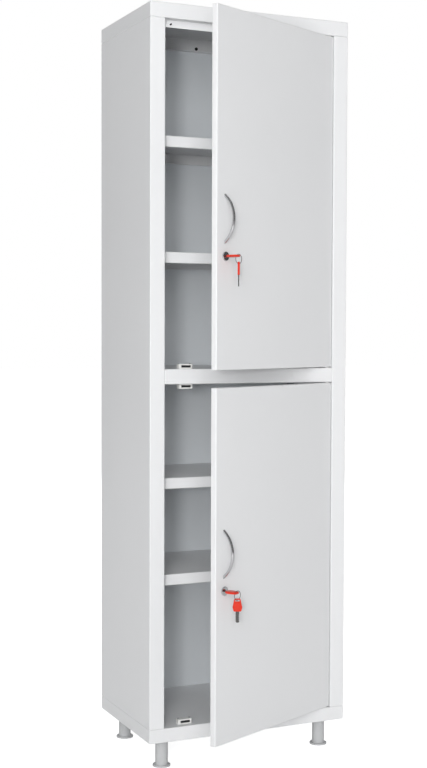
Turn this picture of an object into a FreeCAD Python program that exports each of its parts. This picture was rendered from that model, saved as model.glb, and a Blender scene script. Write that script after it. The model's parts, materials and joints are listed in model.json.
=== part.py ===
import FreeCAD, Part
import math
import os
from FreeCAD import Placement, Rotation, Vector

# Tall steel cabinet with an upper and a lower door, in millimetres.
# The origin is on the floor under the middle of the body. +X points right, +Y into the cabinet, +Z up.

# Carcass
body_width = 500.0
body_depth = 320.0
body_height = 1655.0
leg_height = 65.0
sheet = 0.8
inner_bend = 1.2
roof_height = 34.0
roof_front_return = 34.0
roof_rear_return = 20.0
base_height = 32.0
base_return = 20.0
leg_shelf = 85.0
rail_height = 34.0
rail_return = 45.0
stile_width = 36.0
stile_return = 20.0
stile_lap = 6.0
side_flange = 10.5
wing_flange = 15.0
fold_clearance = 0.5
stop_setback = 20.5
stop_height = 16.0
stop_foot = 12.0
rear_hole_radius = 3.0
rear_hole_rise = 10.0
rear_plug_radius = 4.0
rear_plug_height = 1.5

# Shelves and what carries them
shelf_setback = 30.0
shelf_height = 25.0
shelf_return = 12.0
shelf_side_gap = 1.2
shelf_rear_gap = 3.0
upright_width = 24.0
upright_depth = 8.0
upright_sheet = 1.0
upright_front_inset = 52.0
upright_rear_inset = 38.0
upright_end_gap = 4.0
slot_pitch = 20.0
slot_length = 12.0
slot_height = 4.0
first_slot = 39.0
clip_sheet = 1.5
clip_width = 10.0
clip_leg = 16.0
clip_ledge = 14.0
tongue_length = 3.0
tongue_clearance = 0.1
upper_shelf_slots = (10, 23)
lower_shelf_slots = (14, 25)

# Legs
leg_radius = 14.5
leg_side_inset = 46.0
leg_front_inset = 41.0
foot_radius = 20.5
foot_height = 4.0
foot_edge = 1.0
foot_stem_radius = 5.0
foot_stem_length = 18.0
leg_bolt_radius = 4.0
leg_bolt_reach = 20.0
leg_bolt_head_radius = 7.0
leg_bolt_head_height = 5.3
thread_clearance = 0.05

# Doors
open_angle = 25.5
door_thickness = 15.0
door_lip = 15.0
edge_gap = 2.0
free_gap = 2.0
hinge_gap = 2.5
pivot_inset = 10.0
pivot_depth = 6.5
pin_radius = 3.0
pin_head_radius = 3.8
pin_head_height = 2.0
pin_reach = 10.0
bush_wall = 1.0
bush_length = 8.0
bush_flange_radius = 5.0
bush_flange = 1.5
running_clearance = 0.05
stiffener_web = 40.0
stiffener_flange = 12.0
stiffener_end_gap = 40.0
stiffener_back_gap = 2.0

# Handles and locks
fitting_inset = 28.0
upper_handle_rise = 323.0
lower_handle_rise = 415.0
lock_drop = 80.0
handle_centres = 96.0
handle_projection = 27.0
handle_mid_radius = 3.25
handle_end_radius = 3.6
handle_screw_inset = 1.0
handle_screw_radius = 2.0
handle_screw_reach = 3.5
screw_head_height = 2.4
screw_head_radius = 4.0
lock_face_radius = 10.0
lock_face_height = 3.5
lock_face_edge = 1.0
lock_barrel_radius = 8.0
lock_barrel_length = 20.0
lock_nut_across = 20.0
lock_nut_height = 3.0
plug_radius = 5.5
plug_proud = 0.3
plug_tail = 6.0
cam_gap = 0.3
cam_sheet = 2.0
cam_width = 14.0
cam_reach = 40.0
cam_screw_radius = 2.0
cam_screw_reach = 4.0

# Keys
blade_width = 7.6
blade_sheet = 2.0
blade_length = 24.0
blade_neck = 5.0
blade_tip = 2.0
notch_depth = 1.5
notch_width = 2.4
notch_pitch = 3.6
notch_count = 4
keyway_clearance = 0.3
bow_length = 28.0
bow_end_width = 13.0
bow_width = 21.0
bow_widest = 19.0
bow_neck_width = 16.0
bow_sheet = 4.5
bow_corner = 3.0
bow_edge = 0.7
bow_slot_width = 9.2
bow_slot_height = 4.0
bow_bridge = 2.4
bow_pocket_depth = 12.0
bow_pocket_width = 6.0
ring_inner_radius = 9.5
ring_wire_radius = 0.6
ring_slack = 0.25
upper_spare_twist = -50.0
lower_spare_twist = 40.0

# Magnetic catches and the door buffer
catch_inset = 58.0
catch_width = 34.0
catch_depth = 16.0
catch_height = 11.0
catch_edge = 2.5
catch_gap = 0.3
magnet_width = 22.5
magnet_height = 5.0
magnet_depth = 9.0
magnet_proud = 1.0
catch_screw_offset = 14.0
catch_screw_radius = 1.5
catch_screw_head_radius = 2.4
catch_screw_head_height = 1.6
catch_screw_reach = 3.0
buffer_inset = 20.0
buffer_drop = 9.5
buffer_radius = 1.8
buffer_stem_radius = 1.2
buffer_barb_radius = 1.6
buffer_barb_length = 1.5

# Places that follow from the sizes above
bend = inner_bend + sheet
half_width = body_width / 2
front = -body_depth / 2
back = body_depth / 2
base_low = leg_height
base_top = base_low + base_height
roof_top = base_low + body_height
roof_low = roof_top - roof_height
opening_half = half_width - stile_width
opening_height = (roof_low - base_top - rail_height) / 2
rail_low = base_top + opening_height
rail_top = rail_low + rail_height
wall_inside = half_width - sheet
panel_front = back - 2 * sheet
door_back = front + door_thickness
hinge_edge = opening_half - hinge_gap
free_edge = free_gap - opening_half
pivot_x = hinge_edge - pivot_inset
pivot_y = front + pivot_depth
fitting_x = free_edge + fitting_inset
stop_front = front + stop_setback
stop_back = stop_front + sheet
catch_x = catch_inset - opening_half
buffer_x = buffer_inset - opening_half
cam_front = front + lock_barrel_length + cam_gap
past = 1.0
parallel_tolerance = 1e-6

BACKWARD = Vector(0, 1, 0)
UP = Vector(0, 0, 1)


def block(x0, x1, y0, y1, z0, z1):
    return Part.makeBox(x1 - x0, y1 - y0, z1 - z0, Vector(x0, y0, z0))


def rounded_block(x0, x1, y0, y1, z0, z1, radius):
    plain = block(x0, x1, y0, y1, z0, z1)
    return plain.makeFillet(radius, plain.Edges)


def folded_box(x0, x1, y0, y1, z0, z1):
    """A closed box folded from sheet, with rounded folds inside and outside."""
    outside = rounded_block(x0, x1, y0, y1, z0, z1, bend)
    inside = rounded_block(
        x0 + sheet, x1 - sheet, y0 + sheet, y1 - sheet, z0 + sheet, z1 - sheet, inner_bend)
    return outside.cut(inside)


def rod(radius, start, end):
    axis = end - start
    return Part.makeCylinder(radius, axis.Length, start, axis)


def edges_along(shape, direction):
    """Edges that start parallel to a direction."""
    return [
        edge for edge in shape.Edges
        if edge.tangentAt(edge.FirstParameter).cross(direction).Length < parallel_tolerance
    ]


def joined(pieces):
    whole = pieces[0].multiFuse(pieces[1:]) if len(pieces) > 1 else pieces[0]
    return whole.removeSplitter()


def opened(shape):
    """Turns a piece of a closed door to the angle at which the doors stand."""
    turned = shape.copy()
    turned.rotate(Vector(pivot_x, pivot_y, 0), UP, open_angle)
    return turned


def save(name, pieces):
    shape = pieces[0] if len(pieces) == 1 else Part.makeCompound(pieces)
    shape.exportStep(f"parts/{name}.step")


# Carcass
def catch_places():
    """Height of each catch's mounting sheet and which way the catch stands on it."""
    return [(rail_top, 1), (rail_low, -1), (base_top, 1)]


def catch_screw_points(level):
    catch_middle = door_back + catch_gap + magnet_proud + catch_depth / 2
    return [Vector(catch_x + side * catch_screw_offset, catch_middle, level) for side in (-1, 1)]


def pin_places():
    """Outer face of the sheet that carries each pin and the way the pin points."""
    return [(roof_low, -1), (rail_top, 1), (rail_low, -1), (base_top, 1)]


def drilled(shape, levels):
    """Drills the pivot hole and the catch's screw holes through the sheets at the given levels."""
    for level, way in pin_places():
        if level in levels:
            point = Vector(pivot_x, pivot_y, level)
            shape = shape.cut(rod(pin_radius + running_clearance, point + UP * bend, point - UP * bend))
    for level, way in catch_places():
        if level in levels:
            for point in catch_screw_points(level):
                hole = rod(catch_screw_radius + thread_clearance, point + UP * bend, point - UP * bend)
                shape = shape.cut(hole)
    return shape


def rear_hole():
    """Outer end of the hole in the roof's rear wall."""
    return Vector(0, back, roof_low + rear_hole_rise)


def make_roof():
    shell = folded_box(-half_width, half_width, front, back, roof_low, roof_top)
    roof = shell.cut(block(
        -opening_half, opening_half, front + roof_front_return, back - roof_rear_return,
        roof_low - past, roof_low + bend))
    roof = roof.cut(rod(rear_hole_radius, rear_hole() + BACKWARD, rear_hole() - BACKWARD * bend))
    return drilled(roof, (roof_low,))


def make_rear_plug():
    """Plug that closes the hole in the roof's rear wall, its head inside the roof."""
    seat = rear_hole() - BACKWARD * sheet
    return joined([
        rod(rear_hole_radius - running_clearance, seat, rear_hole()),
        rod(rear_plug_radius, seat - BACKWARD * rear_plug_height, seat),
    ])


def make_stop():
    """Angle under the roof's front return, which the upper door's buffer meets."""
    half = opening_half - fold_clearance
    upright = block(-half, half, stop_front, stop_back, roof_low - stop_height, roof_low)
    foot = block(-half, half, stop_front, stop_front + stop_foot, roof_low - sheet, roof_low)
    hole = Vector(buffer_x, stop_back, roof_low - buffer_drop)
    return joined([upright, foot]).cut(rod(
        buffer_stem_radius + running_clearance, hole + BACKWARD, hole - BACKWARD * bend))


def leg_points():
    x = half_width - leg_side_inset
    y = back - leg_front_inset
    return {
        "front_left_leg": Vector(-x, -y, base_low),
        "front_right_leg": Vector(x, -y, base_low),
        "rear_left_leg": Vector(-x, y, base_low),
        "rear_right_leg": Vector(x, y, base_low),
    }


def make_base():
    shell = folded_box(-half_width, half_width, front, back, base_low, base_top)
    window_half = half_width - leg_shelf
    base = shell.cut(block(
        -window_half, window_half, front + base_return, back - base_return, base_low - past, base_low + bend))
    for point in leg_points().values():
        base = base.cut(rod(leg_bolt_radius + running_clearance, point - UP, point + UP * bend))
    return drilled(base, (base_top,))


def make_stile(side):
    """Lap on the wall, face and return of one side's front edge; side is -1 for left, 1 for right."""
    x0, x1 = sorted((side * half_width, side * opening_half))
    shell = folded_box(x0, x1, front, back, base_top, roof_low)
    fold = opening_half + bend
    x0, x1 = sorted((side * fold, side * (half_width + past)))
    behind_lap = block(x0, x1, front + stile_lap, back + past, base_top - past, roof_low + past)
    x0, x1 = sorted((side * fold, side * (opening_half - past)))
    behind_return = block(x0, x1, front + stile_return, back + past, base_top - past, roof_low + past)
    return shell.cut(behind_lap).cut(behind_return)


def make_side(side):
    """Wall of one side with narrow flanges at its rear, top and bottom edges."""
    flange_edge = half_width - side_flange
    x0, x1 = sorted((side * half_width, side * (flange_edge - bend)))
    shell = folded_box(x0, x1, front, back, base_top, roof_low)
    x0, x1 = sorted((side * flange_edge, side * (flange_edge - bend - past)))
    mouth = block(x0, x1, front - past, back + past, base_top - past, roof_low + past)
    x0, x1 = sorted((side * (half_width + past), side * (flange_edge - past)))
    stile_place = block(x0, x1, front - past, front + stile_lap, base_top - past, roof_low + past)
    return shell.cut(mouth).cut(stile_place)


def make_back():
    edge = wall_inside - inner_bend - fold_clearance
    low = base_top + bend
    high = roof_low - bend
    wide = block(-edge, edge, panel_front, back - sheet, low, high)
    tall_edge = half_width - side_flange - fold_clearance
    tall = block(-tall_edge, tall_edge, panel_front, back - sheet, base_top, roof_low)
    return joined([wide, tall])


def make_partition():
    rear = panel_front
    shell = folded_box(-opening_half, opening_half, front, rear, rail_low, rail_top)
    hollow = block(
        -opening_half - past, opening_half + past, front + rail_return, rear - sheet,
        rail_low - past, rail_top - sheet)
    pieces = [shell.cut(hollow)]
    wing_front = front + stile_return + fold_clearance
    wing_back = rear - bend
    deck_low = rail_top - sheet
    for side in (-1, 1):
        x0, x1 = sorted((side * (opening_half - bend), side * wall_inside))
        pieces.append(block(x0, x1, wing_front, wing_back, deck_low, rail_top))
        x0, x1 = sorted((side * (wall_inside - sheet), side * wall_inside))
        pieces.append(block(x0, x1, wing_front, wing_back, rail_top - wing_flange, rail_top))
    return drilled(joined(pieces), (rail_low, rail_top))


# Shelves, uprights and clips
def upright_places():
    return front + upright_front_inset + upright_width / 2, back - upright_rear_inset - upright_width / 2


def slot_middle(floor, index):
    return floor + first_slot + index * slot_pitch


def make_uprights(floor, ceiling):
    """Four slotted channels on the side walls of one cupboard, open towards the wall."""
    low = floor + upright_end_gap
    high = ceiling - upright_end_gap
    slot_count = int((high - floor - first_slot - slot_height) // slot_pitch) + 1
    pieces = []
    for side in (-1, 1):
        for middle in upright_places():
            y0 = middle - upright_width / 2
            y1 = middle + upright_width / 2
            x0, x1 = sorted((side * wall_inside, side * (wall_inside - upright_depth)))
            channel = block(x0, x1, y0, y1, low, high)
            face = wall_inside - upright_depth
            x0, x1 = sorted((side * (wall_inside + past), side * (face + upright_sheet)))
            hollow = block(x0, x1, y0 + upright_sheet, y1 - upright_sheet, low - past, high + past)
            x0, x1 = sorted((side * (face - past), side * wall_inside))
            slot_lows = [slot_middle(floor, index) - slot_height / 2 for index in range(slot_count)]
            slots = [
                block(x0, x1, middle - slot_length / 2, middle + slot_length / 2, z0, z0 + slot_height)
                for z0 in slot_lows
            ]
            pieces.append(channel.cut(hollow).cut(Part.makeCompound(slots)))
    return pieces


def shelf_low(floor, index):
    """Underside of a shelf whose clips hang in the given slot."""
    return slot_middle(floor, index) - slot_height / 2 + tongue_clearance + clip_sheet


def make_clips(floor, indices):
    """Clips of one cupboard's shelves: a tongue in the slot, a leg on the upright and a ledge."""
    pieces = []
    face = wall_inside - upright_depth
    for index in indices:
        ledge_top = shelf_low(floor, index)
        ledge_low = ledge_top - clip_sheet
        for side in (-1, 1):
            for middle in upright_places():
                y0 = middle - clip_width / 2
                y1 = middle + clip_width / 2
                x0, x1 = sorted((side * (face + tongue_length), side * (face - clip_ledge)))
                tongue_and_ledge = block(x0, x1, y0, y1, ledge_low, ledge_top)
                x0, x1 = sorted((side * face, side * (face - clip_sheet)))
                leg = block(x0, x1, y0, y1, ledge_top - clip_leg, ledge_top)
                pieces.append(joined([tongue_and_ledge, leg]))
    return pieces


def make_shelf(floor, index):
    half = wall_inside - upright_depth - shelf_side_gap
    low = shelf_low(floor, index)
    y0 = front + shelf_setback
    y1 = panel_front - shelf_rear_gap
    shell = folded_box(-half, half, y0, y1, low, low + shelf_height)
    return shell.cut(block(
        shelf_return - half, half - shelf_return, y0 + shelf_return, y1 - shelf_return,
        low - past, low + bend))


# Legs
def make_leg(point):
    floor_point = Vector(point.x, point.y, 0)
    foot_top = floor_point + UP * foot_height
    leg = rod(leg_radius, foot_top, point)
    leg = leg.cut(rod(leg_bolt_radius + thread_clearance, point - UP * leg_bolt_reach, point))
    stem_hole_top = foot_top + UP * (foot_stem_length + running_clearance)
    return leg.cut(rod(foot_stem_radius + thread_clearance, foot_top, stem_hole_top))


def make_foot(point):
    floor_point = Vector(point.x, point.y, 0)
    foot_top = floor_point + UP * foot_height
    disc = rod(foot_radius, floor_point, foot_top)
    rim = [edge for edge in disc.Edges if edge.Closed and edge.CenterOfMass.z > foot_height / 2]
    disc = disc.makeFillet(foot_edge, rim)
    return joined([disc, rod(foot_stem_radius, foot_top, foot_top + UP * foot_stem_length)])


def hex_prism(across, low_point, height):
    corner = across / math.sqrt(3)
    first = Vector(corner, 0, 0)
    points = [low_point + Rotation(UP, 360 * i / 6).multVec(first) for i in range(6)]
    return Part.Face(Part.makePolygon(points + points[:1])).extrude(UP * height)


def make_leg_bolt(point):
    seat = point + UP * sheet
    across = leg_bolt_head_radius * math.sqrt(3)
    head = hex_prism(across, seat, leg_bolt_head_height)
    return joined([head, rod(leg_bolt_radius, point - UP * (leg_bolt_reach - running_clearance), seat)])


# Catches, buffer and pivot pins
def make_catch(level, way):
    """Housing and magnet of one catch, and its two screws."""
    y0 = door_back + catch_gap + magnet_proud
    y1 = y0 + catch_depth
    x0 = catch_x - catch_width / 2
    x1 = catch_x + catch_width / 2
    z0, z1 = sorted((level, level + way * catch_height))
    housing = block(x0, x1, y0, y1, z0, z1)
    housing = housing.makeFillet(catch_edge, edges_along(housing, UP))
    middle = (z0 + z1) / 2
    bounds = (catch_x - magnet_width / 2, catch_x + magnet_width / 2)
    low = middle - magnet_height / 2
    high = middle + magnet_height / 2
    magnet = block(*bounds, y0 - magnet_proud, y0 - magnet_proud + magnet_depth, low, high)
    housing = housing.cut(magnet)
    screws = []
    for point in catch_screw_points(level):
        far = point + UP * (way * catch_height)
        near = point - UP * (way * (sheet + catch_screw_reach))
        housing = housing.cut(rod(catch_screw_radius + thread_clearance, point, far))
        head = rod(catch_screw_head_radius, far, far + UP * (way * catch_screw_head_height))
        screws.append(joined([rod(catch_screw_radius, near, far), head]))
    return housing, magnet, screws


def make_buffer():
    seat = Vector(buffer_x, stop_front, roof_low - buffer_drop)
    tip = Vector(seat.x, door_back + catch_gap, seat.z)
    behind = seat + BACKWARD * sheet
    return joined([
        rod(buffer_radius, tip, seat),
        rod(buffer_stem_radius, seat, behind),
        rod(buffer_barb_radius, behind, behind + BACKWARD * buffer_barb_length),
    ])


def make_pin(level, way):
    face = Vector(pivot_x, pivot_y, level)
    seat = face - UP * (way * sheet)
    return joined([
        rod(pin_radius, seat, face + UP * (way * (edge_gap + pin_reach))),
        rod(pin_head_radius, seat - UP * (way * pin_head_height), seat),
    ])


# Doors
def make_bush(door_edge, way):
    """Flanged bush in the door's top or bottom edge; way points out of the door."""
    edge = Vector(pivot_x, pivot_y, door_edge)
    inner = edge - UP * (way * bush_length)
    outer = edge + UP * (way * bush_flange)
    bush = joined([
        rod(pin_radius + running_clearance + bush_wall, inner, edge),
        rod(bush_flange_radius, edge, outer),
    ])
    return bush.cut(rod(pin_radius + running_clearance, inner - UP * way, outer + UP * way))


def fitting_point(height):
    return Vector(fitting_x, front, height)


def handle_screw_points(middle):
    reach = handle_centres / 2
    return [fitting_point(middle + side * reach) for side in (-1, 1)]


def make_door_panel(low, high, handle_middle, lock_height):
    shell = folded_box(free_edge, hinge_edge, front, door_back, low, high)
    panel = shell.cut(block(
        free_edge + door_lip, hinge_edge - door_lip, door_back - bend, door_back + past,
        low + door_lip, high - door_lip))
    for edge in (low, high):
        point = Vector(pivot_x, pivot_y, edge)
        hole_radius = pin_radius + bush_wall + 2 * running_clearance
        panel = panel.cut(rod(hole_radius, point - UP * bend, point + UP * bend))
    for point in handle_screw_points(handle_middle):
        panel = panel.cut(rod(
            handle_screw_radius + running_clearance, point - BACKWARD, point + BACKWARD * bend))
    point = fitting_point(lock_height)
    return panel.cut(rod(lock_barrel_radius + running_clearance, point - BACKWARD, point + BACKWARD * bend))


def make_stiffener(low, high):
    """Hat section standing inside the door, its flanges on the back of the front sheet."""
    middle = (free_edge + hinge_edge) / 2
    z0 = low + stiffener_end_gap
    z1 = high - stiffener_end_gap
    y0 = front + sheet
    y1 = door_back - stiffener_back_gap
    half = stiffener_web / 2
    hat = block(middle - half, middle + half, y0, y1, z0, z1)
    hollow_half = half - sheet
    hat = hat.cut(block(
        middle - hollow_half, middle + hollow_half, y0 - past, y1 - sheet, z0 - past, z1 + past))
    flanges = [
        block(middle + half, middle + half + stiffener_flange, y0, y0 + sheet, z0, z1),
        block(middle - half - stiffener_flange, middle - half, y0, y0 + sheet, z0, z1),
    ]
    return joined([hat] + flanges)


def make_handle(middle):
    """Bow handle: a bar along one arc, thicker towards its feet, cut flat at the door's face."""
    half_chord = handle_centres / 2 + handle_screw_inset
    rise = handle_projection - handle_mid_radius
    radius = (half_chord ** 2 + rise ** 2) / (2 * rise)
    centre = fitting_point(middle) + BACKWARD * (radius - rise)
    half_turn = math.asin(half_chord / radius)
    overrun = 2 * handle_end_radius / radius
    section_count = 11
    sections = []
    for i in range(section_count):
        share = 2 * i / (section_count - 1) - 1
        turn = share * (half_turn + overrun)
        thickness = handle_mid_radius + (handle_end_radius - handle_mid_radius) * share ** 4
        along = Vector(0, math.sin(turn), math.cos(turn))
        point = centre + Vector(0, -radius * math.cos(turn), radius * math.sin(turn))
        sections.append(Part.Wire(Part.makeCircle(thickness, point, along)))
    bar = Part.makeLoft(sections, True)
    reach = half_chord + 4 * handle_end_radius
    bar = bar.cut(block(
        fitting_x - reach, fitting_x + reach, front, front + reach, middle - reach, middle + reach))
    for point in handle_screw_points(middle):
        end = point - BACKWARD * (handle_screw_reach + running_clearance)
        bar = bar.cut(rod(handle_screw_radius + running_clearance, end, point))
    return bar


def make_handle_screw(point):
    seat = point + BACKWARD * sheet
    return joined([
        rod(handle_screw_radius, point - BACKWARD * handle_screw_reach, seat),
        rod(screw_head_radius, seat, seat + BACKWARD * screw_head_height),
    ])


def make_lock(height):
    """Housing, nut, plug, cam and cam screw of a lock with its key in the unlocked position."""
    middle = fitting_point(height)
    face = middle - BACKWARD * lock_face_height
    barrel_end = middle + BACKWARD * lock_barrel_length
    flange = rod(lock_face_radius, face, middle)
    rim_limit = front - lock_face_height / 2
    rim = [edge for edge in flange.Edges if edge.Closed and edge.CenterOfMass.y < rim_limit]
    housing = joined([flange.makeFillet(lock_face_edge, rim), rod(lock_barrel_radius, middle, barrel_end)])
    housing = housing.cut(rod(plug_radius + running_clearance, face - BACKWARD, barrel_end + BACKWARD))

    seat = middle + BACKWARD * sheet
    nut = hex_prism(lock_nut_across, Vector(0, 0, 0), lock_nut_height)
    nut.Placement = Placement(seat, Rotation(UP, BACKWARD))
    nut = nut.cut(rod(lock_barrel_radius + thread_clearance, middle, barrel_end))

    cam_seat = Vector(middle.x, cam_front, height)
    cam_back = cam_front + cam_sheet
    half_tail = plug_tail / 2
    plug = rod(plug_radius, face - BACKWARD * plug_proud, cam_seat)
    tail = block(
        middle.x - half_tail, middle.x + half_tail, cam_front, cam_back,
        height - half_tail, height + half_tail)
    plug = joined([plug, tail])
    half_way = blade_width / 2 + keyway_clearance
    half_slot = blade_sheet / 2 + keyway_clearance
    way_start = face.y - plug_proud
    way_end = way_start + blade_length - blade_neck + keyway_clearance
    plug = plug.cut(block(
        middle.x - half_way, middle.x + half_way, way_start - past, way_end,
        height - half_slot, height + half_slot))
    screw_seat = Vector(middle.x, cam_back, height)
    screw_end = screw_seat - BACKWARD * cam_screw_reach
    plug = plug.cut(rod(
        cam_screw_radius + thread_clearance, screw_end - BACKWARD * thread_clearance, screw_seat))

    half_cam = cam_width / 2
    cam_low = height - cam_reach + half_cam
    tip = Vector(middle.x, cam_front, cam_low)
    cam = joined([
        rod(half_cam, cam_seat, screw_seat),
        block(middle.x - half_cam, middle.x + half_cam, cam_front, cam_back, cam_low, height),
        rod(half_cam, tip, tip + BACKWARD * cam_sheet),
    ])
    hole = half_tail + running_clearance
    cam = cam.cut(block(
        middle.x - hole, middle.x + hole, cam_front - past, cam_back + past, height - hole, height + hole))
    screw = joined([
        rod(cam_screw_radius, screw_end, screw_seat),
        rod(screw_head_radius, screw_seat, screw_seat + BACKWARD * screw_head_height),
    ])
    return housing, nut, plug, cam, screw


# Keys, drawn with the free end of the bow at the origin, the blade along +Z and the bow's width along X
def make_bow():
    half_sheet = bow_sheet / 2
    stations = ((bow_end_width, 0), (bow_width, bow_widest), (bow_neck_width, bow_length))
    points = [Vector(width / 2, -half_sheet, distance) for width, distance in stations]
    points += [Vector(-width / 2, -half_sheet, distance) for width, distance in reversed(stations)]
    bow = Part.Face(Part.makePolygon(points + points[:1])).extrude(BACKWARD * bow_sheet)
    bow = bow.makeFillet(bow_corner, edges_along(bow, BACKWARD))
    flat_sides = [
        face for face in bow.Faces
        if face.normalAt(0, 0).cross(BACKWARD).Length < parallel_tolerance
    ]
    bow = bow.makeFillet(bow_edge, [edge for face in flat_sides for edge in face.Edges])
    slot = block(
        -bow_slot_width / 2, bow_slot_width / 2, -bow_sheet, bow_sheet,
        bow_bridge, bow_bridge + bow_slot_height)
    half_pocket = bow_pocket_width / 2 + running_clearance
    half_blade = blade_sheet / 2 + running_clearance
    pocket_end = bow_length - bow_pocket_depth - running_clearance
    pocket = block(-half_pocket, half_pocket, -half_blade, half_blade, pocket_end, bow_length + past)
    return bow.cut(slot).cut(pocket)


def make_blade():
    half = blade_width / 2
    half_sheet = blade_sheet / 2
    tip = bow_length + blade_length
    outline = [
        Vector(-half, -half_sheet, bow_length), Vector(half, -half_sheet, bow_length),
        Vector(half, -half_sheet, tip - blade_tip), Vector(half - blade_tip, -half_sheet, tip),
        Vector(blade_tip - half, -half_sheet, tip), Vector(-half, -half_sheet, tip - blade_tip),
    ]
    blade = Part.Face(Part.makePolygon(outline + outline[:1])).extrude(BACKWARD * blade_sheet)
    half_pocket = bow_pocket_width / 2
    shank_end = bow_length - bow_pocket_depth
    shank = block(-half_pocket, half_pocket, -half_sheet, half_sheet, shank_end, bow_length)
    blade = joined([blade, shank])
    for i in range(notch_count):
        middle = tip - blade_tip - notch_pitch * (i + 1)
        points = [
            Vector(half - notch_depth, -bow_sheet, middle),
            Vector(half + past, -bow_sheet, middle - notch_width),
            Vector(half + past, -bow_sheet, middle + notch_width),
        ]
        notch = Part.Face(Part.makePolygon(points + points[:1])).extrude(BACKWARD * 2 * bow_sheet)
        blade = blade.cut(notch)
    return blade


def placed(shape, placement):
    moved = shape.copy()
    moved.Placement = placement.multiply(moved.Placement)
    return moved


def make_keys(height, spare_twist):
    """Bow and blade of the key in the lock, the ring in its bow, and the spare key on the ring."""
    lock_face = front - lock_face_height - plug_proud
    bow_end_y = lock_face - blade_neck - bow_length
    in_lock = Placement(Vector(fitting_x, bow_end_y, height), Rotation(UP, BACKWARD))
    key_bow = placed(make_bow(), in_lock)
    key_blade = placed(make_blade(), in_lock)

    wire_middle = ring_inner_radius + ring_wire_radius
    ring_centre = key_ring_pivot(height) - UP * key_ring_drop()
    ring = Part.makeTorus(wire_middle, ring_wire_radius, ring_centre, BACKWARD)

    twist = math.radians(abs(spare_twist))
    seat_half = bow_sheet / 2 / math.cos(twist) + ring_wire_radius * math.tan(twist)
    seat_drop = math.sqrt(ring_inner_radius ** 2 - seat_half ** 2)
    spare_end = ring_centre - UP * (seat_drop - ring_slack - bow_bridge)
    turned = Rotation(UP, spare_twist).multiply(Rotation(UP, 90)).multiply(Rotation(BACKWARD, 180))
    hanging = Placement(spare_end, turned)
    return key_blade, key_bow, ring, placed(make_blade(), hanging), placed(make_bow(), hanging)


def bow_half_width(distance):
    """Half the bow's width at a distance from its free end, short of the widest place."""
    return (bow_end_width + (bow_width - bow_end_width) * distance / bow_widest) / 2


def key_ring_pivot(height):
    """Middle of the bow's side bridge, which the ring hangs on."""
    slot_middle_distance = bow_bridge + bow_slot_height / 2
    bow_end_y = front - lock_face_height - plug_proud - blade_neck - bow_length
    bridge_middle = (bow_slot_width / 2 + bow_half_width(slot_middle_distance)) / 2
    return Vector(fitting_x + bridge_middle, bow_end_y + slot_middle_distance, height)


def key_ring_drop():
    """How far the ring's middle hangs below the bridge, clear of the bridge's corners at any turn."""
    bridge_half = (bow_half_width(bow_bridge + bow_slot_height) - bow_slot_width / 2) / 2
    return ring_inner_radius - ring_slack - math.hypot(bridge_half, bow_sheet / 2)


def save_door(name, opening_low, handle_rise, spare_twist):
    low = opening_low + edge_gap
    high = opening_low + opening_height - edge_gap
    handle_middle = low + handle_rise
    lock_height = handle_middle - lock_drop
    housing, nut, plug, cam, cam_screw = make_lock(lock_height)
    key_blade, key_bow, ring, spare_blade, spare_bow = make_keys(lock_height, spare_twist)
    pieces = {
        "door_panel": [make_door_panel(low, high, handle_middle, lock_height)],
        "door_stiffener": [make_stiffener(low, high)],
        "door_handle": [make_handle(handle_middle)],
        "handle_screws": [make_handle_screw(point) for point in handle_screw_points(handle_middle)],
        "pivot_bushes": [make_bush(low, -1), make_bush(high, 1)],
        "lock_housing": [housing],
        "lock_nut": [nut],
        "lock_plug": [plug],
        "lock_cam": [cam],
        "lock_cam_screw": [cam_screw],
        "key_blade": [key_blade],
        "key_bow": [key_bow],
        "key_ring": [ring],
        "spare_key_blade": [spare_blade],
        "spare_key_bow": [spare_bow],
    }
    for piece, shapes in pieces.items():
        save(f"{name}_{piece}", [opened(shape) for shape in shapes])


os.makedirs("parts", exist_ok=True)

save("roof_panel", [make_roof()])
save("base_panel", [make_base()])
save("rear_hole_plug", [make_rear_plug()])
save("door_stop", [make_stop()])
for side_name, side in (("left", -1), ("right", 1)):
    save(f"{side_name}_stile", [make_stile(side)])
    save(f"{side_name}_side_panel", [make_side(side)])
save("back_panel", [make_back()])
save("middle_partition", [make_partition()])

save("upper_shelf_uprights", make_uprights(rail_top, roof_low))
save("lower_shelf_uprights", make_uprights(base_top, rail_low))
save("upper_shelf_clips", make_clips(rail_top, upper_shelf_slots))
save("lower_shelf_clips", make_clips(base_top, lower_shelf_slots))
cupboards = (("upper", rail_top, upper_shelf_slots), ("lower", base_top, lower_shelf_slots))
for cupboard, floor, slots in cupboards:
    for place, slot in zip(("first", "second"), slots):
        save(f"{cupboard}_{place}_shelf", [make_shelf(floor, slot)])

for leg_name, leg_point in leg_points().items():
    save(leg_name, [make_leg(leg_point)])
save("levelling_feet", [make_foot(point) for point in leg_points().values()])
save("leg_bolts", [make_leg_bolt(point) for point in leg_points().values()])

catches = [make_catch(level, way) for level, way in catch_places()]
save("catch_housings", [housing for housing, magnet, screws in catches])
save("catch_magnets", [magnet for housing, magnet, screws in catches])
save("catch_screws", [screw for housing, magnet, screws in catches for screw in screws])
save("door_buffer", [make_buffer()])
save("door_pivot_pins", [make_pin(level, way) for level, way in pin_places()])

save_door("upper", rail_top, upper_handle_rise, upper_spare_twist)
save_door("lower", base_top, lower_handle_rise, lower_spare_twist)
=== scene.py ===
import json
import math
import bpy
from mathutils import Matrix, Vector


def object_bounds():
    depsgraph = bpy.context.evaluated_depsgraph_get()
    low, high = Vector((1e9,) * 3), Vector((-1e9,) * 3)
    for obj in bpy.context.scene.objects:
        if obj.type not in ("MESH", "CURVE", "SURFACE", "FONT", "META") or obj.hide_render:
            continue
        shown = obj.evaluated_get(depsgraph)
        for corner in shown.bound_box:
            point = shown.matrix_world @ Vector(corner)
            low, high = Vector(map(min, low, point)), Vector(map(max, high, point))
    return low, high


# Looks of a tall white steel cabinet with two doors, in metres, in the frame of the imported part.

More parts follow.
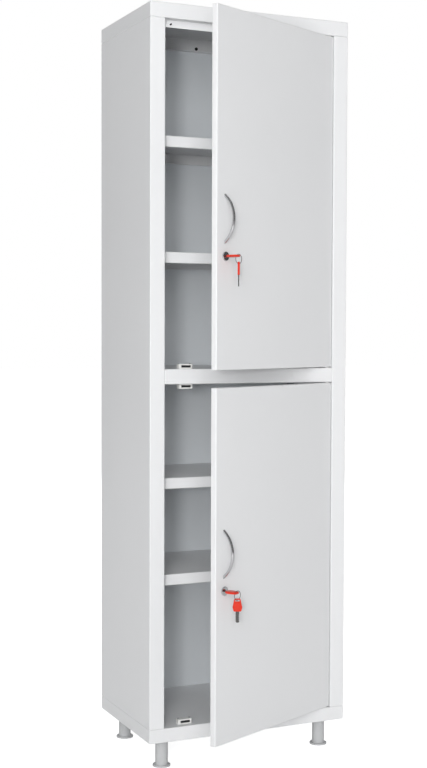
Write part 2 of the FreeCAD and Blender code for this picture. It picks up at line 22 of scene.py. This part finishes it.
# Camera, solved from the corners of the body
FOCAL_PIXELS = 1335.3
LONG_SIDE_PIXELS = 768
SENSOR_WIDTH_MM = 36.0
CAMERA_PLACE = Vector((-1.349, -2.917, 0.994))
CAMERA_YAW = math.radians(24.46)
CAMERA_PITCH = math.radians(-2.27)
CAMERA_ROLL = math.radians(-0.18)

# Light
FILL = 0.34
FILL_COLOUR = (0.985, 0.99, 1.0)
BACKGROUND = 1.0
LAMP_DISTANCE = 5.0
LAMPS = (
    {"name": "broad_key", "watts": 132.0, "size": 3.0, "yaw": 27.0, "height": 2.2},
    {"name": "narrow_key", "watts": 54.0, "size": 0.5, "yaw": 30.0, "height": 1.15},
    {"name": "rear_fill", "watts": 80.0, "size": 3.0, "yaw": 205.0, "height": 3.2},
)
FLOOR_SIZE = 60.0
FLOOR_GLOW = 0.74

# Brightness of the studio in reflections, from the far left to the far right of the cabinet
STUDIO_BANDS = (
    (0.00, 0.60), (0.09, 0.60), (0.14, 0.03), (0.43, 0.04),
    (0.48, 1.00), (0.54, 1.00), (0.60, 0.05), (1.00, 0.10),
)

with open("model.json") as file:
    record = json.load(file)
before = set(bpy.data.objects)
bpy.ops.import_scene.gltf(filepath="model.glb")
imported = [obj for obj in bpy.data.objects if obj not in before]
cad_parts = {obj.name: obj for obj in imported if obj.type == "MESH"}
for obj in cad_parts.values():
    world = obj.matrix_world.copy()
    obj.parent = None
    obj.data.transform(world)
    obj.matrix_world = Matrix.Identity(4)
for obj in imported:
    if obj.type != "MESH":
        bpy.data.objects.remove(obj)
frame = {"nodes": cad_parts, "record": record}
cad_low, cad_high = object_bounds()


def new_material(name):
    material = bpy.data.materials.new(name)
    material.use_nodes = True
    tree = material.node_tree
    tree.nodes.clear()
    return material, tree


def noise(tree, coordinates, scale, detail):
    node = tree.nodes.new("ShaderNodeTexNoise")
    node.inputs["Scale"].default_value = scale
    node.inputs["Detail"].default_value = detail
    tree.links.new(coordinates, node.inputs["Vector"])
    return node.outputs["Fac"]


def surface(name, dark, light, metallic, roughness, patch_scale, grain_scale, grain_depth, coat=0.0):
    """A finish whose colour and gloss drift a little over the piece, with a fine grain in relief."""
    material, tree = new_material(name)
    coordinates = tree.nodes.new("ShaderNodeTexCoord").outputs["Object"]
    patches = noise(tree, coordinates, patch_scale, 3.0)
    grain = noise(tree, coordinates, grain_scale, 2.0)

    colour = tree.nodes.new("ShaderNodeMix")
    colour.data_type = "RGBA"
    colour.inputs["A"].default_value = (*dark, 1.0)
    colour.inputs["B"].default_value = (*light, 1.0)
    tree.links.new(patches, colour.inputs["Factor"])

    gloss = tree.nodes.new("ShaderNodeMapRange")
    gloss.inputs["To Min"].default_value = roughness[0]
    gloss.inputs["To Max"].default_value = roughness[1]
    tree.links.new(patches, gloss.inputs["Value"])

    relief = tree.nodes.new("ShaderNodeBump")
    relief.inputs["Strength"].default_value = 1.0
    relief.inputs["Distance"].default_value = grain_depth
    tree.links.new(grain, relief.inputs["Height"])

    shader = tree.nodes.new("ShaderNodeBsdfPrincipled")
    shader.inputs["Metallic"].default_value = metallic
    shader.inputs["Coat Weight"].default_value = coat
    shader.inputs["Coat Roughness"].default_value = roughness[0]
    tree.links.new(colour.outputs["Result"], shader.inputs["Base Color"])
    tree.links.new(gloss.outputs["Result"], shader.inputs["Roughness"])
    tree.links.new(relief.outputs["Normal"], shader.inputs["Normal"])
    output = tree.nodes.new("ShaderNodeOutputMaterial")
    tree.links.new(shader.outputs["BSDF"], output.inputs["Surface"])
    return material


def make_finishes():
    """One material for each material slot of the record, and for the back panel a bluish copy of the white paint whose
    tint is painted shade.
    """
    return {
        "white_paint": surface(
            "white_powder_coat", (0.80, 0.806, 0.815), (0.83, 0.834, 0.84), 0.0, (0.34, 0.44), 3.0, 1500.0, 0.000012),
        # Back panel: the white paint tinted cooler and bluish, a painted shade standing in for the cool shade inside
        # the cabinet.
        "back_panel": surface(
            "white_powder_coat_painted_shade", (0.765, 0.80, 0.83), (0.795, 0.825, 0.85), 0.0, (0.36, 0.46), 3.0, 1500.0,
            0.000012),
        "chrome": surface(
            "polished_chrome", (0.60, 0.60, 0.62), (0.72, 0.72, 0.73), 1.0, (0.06, 0.14), 60.0, 900.0, 0.000002),
        "zinc_steel": surface(
            "zinc_plate", (0.48, 0.49, 0.51), (0.66, 0.67, 0.68), 1.0, (0.30, 0.48), 45.0, 1200.0, 0.000008),
        # Nickel key blade: colour darkened far below bright nickel; the near-black is a painted reflection of dark
        # surroundings.
        "nickel_steel": surface(
            "nickel_painted_dark_reflection", (0.09, 0.088, 0.085), (0.20, 0.197, 0.19), 1.0, (0.20, 0.34), 220.0, 2000.0, 0.000006),
        "red_plastic": surface(
            "red_key_plastic", (0.62, 0.022, 0.007), (0.72, 0.036, 0.011), 0.0, (0.30, 0.44), 130.0, 1800.0, 0.000008),
        "white_plastic": surface(
            "white_nylon", (0.76, 0.76, 0.74), (0.84, 0.84, 0.82), 0.0, (0.38, 0.52), 90.0, 1500.0, 0.000006),
        "grey_plastic": surface(
            "grey_leg_plastic", (0.50, 0.51, 0.52), (0.58, 0.585, 0.59), 0.0, (0.32, 0.46), 40.0, 1500.0, 0.000008),
        "ferrite": surface(
            "dark_ferrite", (0.015, 0.015, 0.017), (0.04, 0.04, 0.043), 0.2, (0.42, 0.62), 240.0, 2500.0, 0.00001),
        "rubber": surface(
            "black_rubber", (0.008, 0.008, 0.008), (0.02, 0.02, 0.021), 0.0, (0.55, 0.75), 160.0, 1800.0, 0.00001),
    }


def finish_nodes():
    """Gives every CAD node its own finish, or else that of its material slot."""
    finishes = make_finishes()
    for part in frame["record"]["subparts"]:
        piece = frame["nodes"][part["node"]]
        piece.data.materials.clear()
        piece.data.materials.append(finishes.get(part["node"], finishes[part["material_slot"]]))


def make_floor():
    """A pale floor that reads white beside the object and keeps its soft shadow."""
    material, tree = new_material("pale_floor")
    coordinates = tree.nodes.new("ShaderNodeTexCoord").outputs["Object"]
    tint = tree.nodes.new("ShaderNodeMix")
    tint.data_type = "RGBA"
    tint.inputs["A"].default_value = (0.90, 0.90, 0.90, 1.0)
    tint.inputs["B"].default_value = (0.93, 0.93, 0.93, 1.0)
    tree.links.new(noise(tree, coordinates, 0.8, 2.0), tint.inputs["Factor"])
    matt = tree.nodes.new("ShaderNodeBsdfDiffuse")
    tree.links.new(tint.outputs["Result"], matt.inputs["Color"])
    glow = tree.nodes.new("ShaderNodeEmission")
    glow.inputs["Color"].default_value = (1.0, 1.0, 1.0, 1.0)
    seen = tree.nodes.new("ShaderNodeLightPath").outputs["Is Camera Ray"]
    strength = tree.nodes.new("ShaderNodeMath")
    strength.operation = "MULTIPLY"
    strength.inputs[1].default_value = FLOOR_GLOW
    tree.links.new(seen, strength.inputs[0])
    tree.links.new(strength.outputs["Value"], glow.inputs["Strength"])
    both = tree.nodes.new("ShaderNodeAddShader")
    tree.links.new(matt.outputs["BSDF"], both.inputs[0])
    tree.links.new(glow.outputs["Emission"], both.inputs[1])
    output = tree.nodes.new("ShaderNodeOutputMaterial")
    tree.links.new(both.outputs["Shader"], output.inputs["Surface"])

    bpy.ops.mesh.primitive_plane_add(size=FLOOR_SIZE)
    floor = bpy.context.object
    floor.name = "floor"
    floor.data.materials.append(material)


def make_world():
    """White to the camera, an even fill on matt surfaces, and a banded studio in reflections."""
    world = bpy.data.worlds.new("studio")
    bpy.context.scene.world = world
    world.use_nodes = True
    tree = world.node_tree
    tree.nodes.clear()
    paths = tree.nodes.new("ShaderNodeLightPath")

    split = tree.nodes.new("ShaderNodeSeparateXYZ")
    tree.links.new(tree.nodes.new("ShaderNodeTexCoord").outputs["Generated"], split.inputs["Vector"])
    bands = tree.nodes.new("ShaderNodeValToRGB")
    stops = bands.color_ramp.elements
    stops.remove(stops[1])
    for index, (position, level) in enumerate(STUDIO_BANDS):
        stop = stops[0] if index == 0 else stops.new(position)
        stop.position = position
        stop.color = (level, level, level, 1.0)
    shift = tree.nodes.new("ShaderNodeMapRange")
    shift.inputs["From Min"].default_value = -1.0
    tree.links.new(split.outputs["X"], shift.inputs["Value"])
    tree.links.new(shift.outputs["Result"], bands.inputs["Fac"])

    fill = tree.nodes.new("ShaderNodeBackground")
    fill.inputs["Color"].default_value = (*FILL_COLOUR, 1.0)
    fill.inputs["Strength"].default_value = FILL
    studio = tree.nodes.new("ShaderNodeBackground")
    tree.links.new(bands.outputs["Color"], studio.inputs["Color"])
    studio.inputs["Strength"].default_value = BACKGROUND
    white = tree.nodes.new("ShaderNodeBackground")
    white.inputs["Color"].default_value = (1.0, 1.0, 1.0, 1.0)
    white.inputs["Strength"].default_value = BACKGROUND

    reflected = tree.nodes.new("ShaderNodeMixShader")
    tree.links.new(paths.outputs["Is Glossy Ray"], reflected.inputs["Fac"])
    tree.links.new(fill.outputs["Background"], reflected.inputs[1])
    tree.links.new(studio.outputs["Background"], reflected.inputs[2])
    seen = tree.nodes.new("ShaderNodeMixShader")
    tree.links.new(paths.outputs["Is Camera Ray"], seen.inputs["Fac"])
    tree.links.new(reflected.outputs["Shader"], seen.inputs[1])
    tree.links.new(white.outputs["Background"], seen.inputs[2])
    output = tree.nodes.new("ShaderNodeOutputWorld")
    tree.links.new(seen.outputs["Shader"], output.inputs["Surface"])


def make_lamps():
    """Two soft lights on the camera's side, broad and narrow, and one behind for the other views."""
    middle = Vector((0.0, 0.0, (cad_low.z + cad_high.z) / 2))
    for lamp in LAMPS:
        light = bpy.data.lights.new(lamp["name"], "AREA")
        light.shape = "SQUARE"
        light.size = lamp["size"]
        light.energy = lamp["watts"]
        stand = bpy.data.objects.new(lamp["name"], light)
        bpy.context.scene.collection.objects.link(stand)
        yaw = math.radians(lamp["yaw"])
        stand.location = Vector((
            -math.sin(yaw) * LAMP_DISTANCE, -math.cos(yaw) * LAMP_DISTANCE, lamp["height"]))
        stand.rotation_mode = "QUATERNION"
        stand.rotation_quaternion = (middle - stand.location).to_track_quat("-Z", "Y")
        stand.visible_glossy = False


def make_camera():
    forward = Vector((
        math.sin(CAMERA_YAW) * math.cos(CAMERA_PITCH),
        math.cos(CAMERA_YAW) * math.cos(CAMERA_PITCH),
        math.sin(CAMERA_PITCH)))
    level_right = Vector((math.cos(CAMERA_YAW), -math.sin(CAMERA_YAW), 0.0))
    level_down = forward.cross(level_right)
    right = math.cos(CAMERA_ROLL) * level_right + math.sin(CAMERA_ROLL) * level_down
    down = -math.sin(CAMERA_ROLL) * level_right + math.cos(CAMERA_ROLL) * level_down
    data = bpy.data.cameras.new("camera")
    data.sensor_width = SENSOR_WIDTH_MM
    data.lens = FOCAL_PIXELS * SENSOR_WIDTH_MM / LONG_SIDE_PIXELS
    camera = bpy.data.objects.new("camera", data)
    bpy.context.scene.collection.objects.link(camera)
    turn = Matrix((right, -down, -forward)).transposed()
    camera.matrix_world = Matrix.Translation(CAMERA_PLACE) @ turn.to_4x4()
    bpy.context.scene.camera = camera


finish_nodes()
make_floor()
make_world()
make_lamps()
make_camera()
bpy.context.scene.view_settings.view_transform = "Standard"
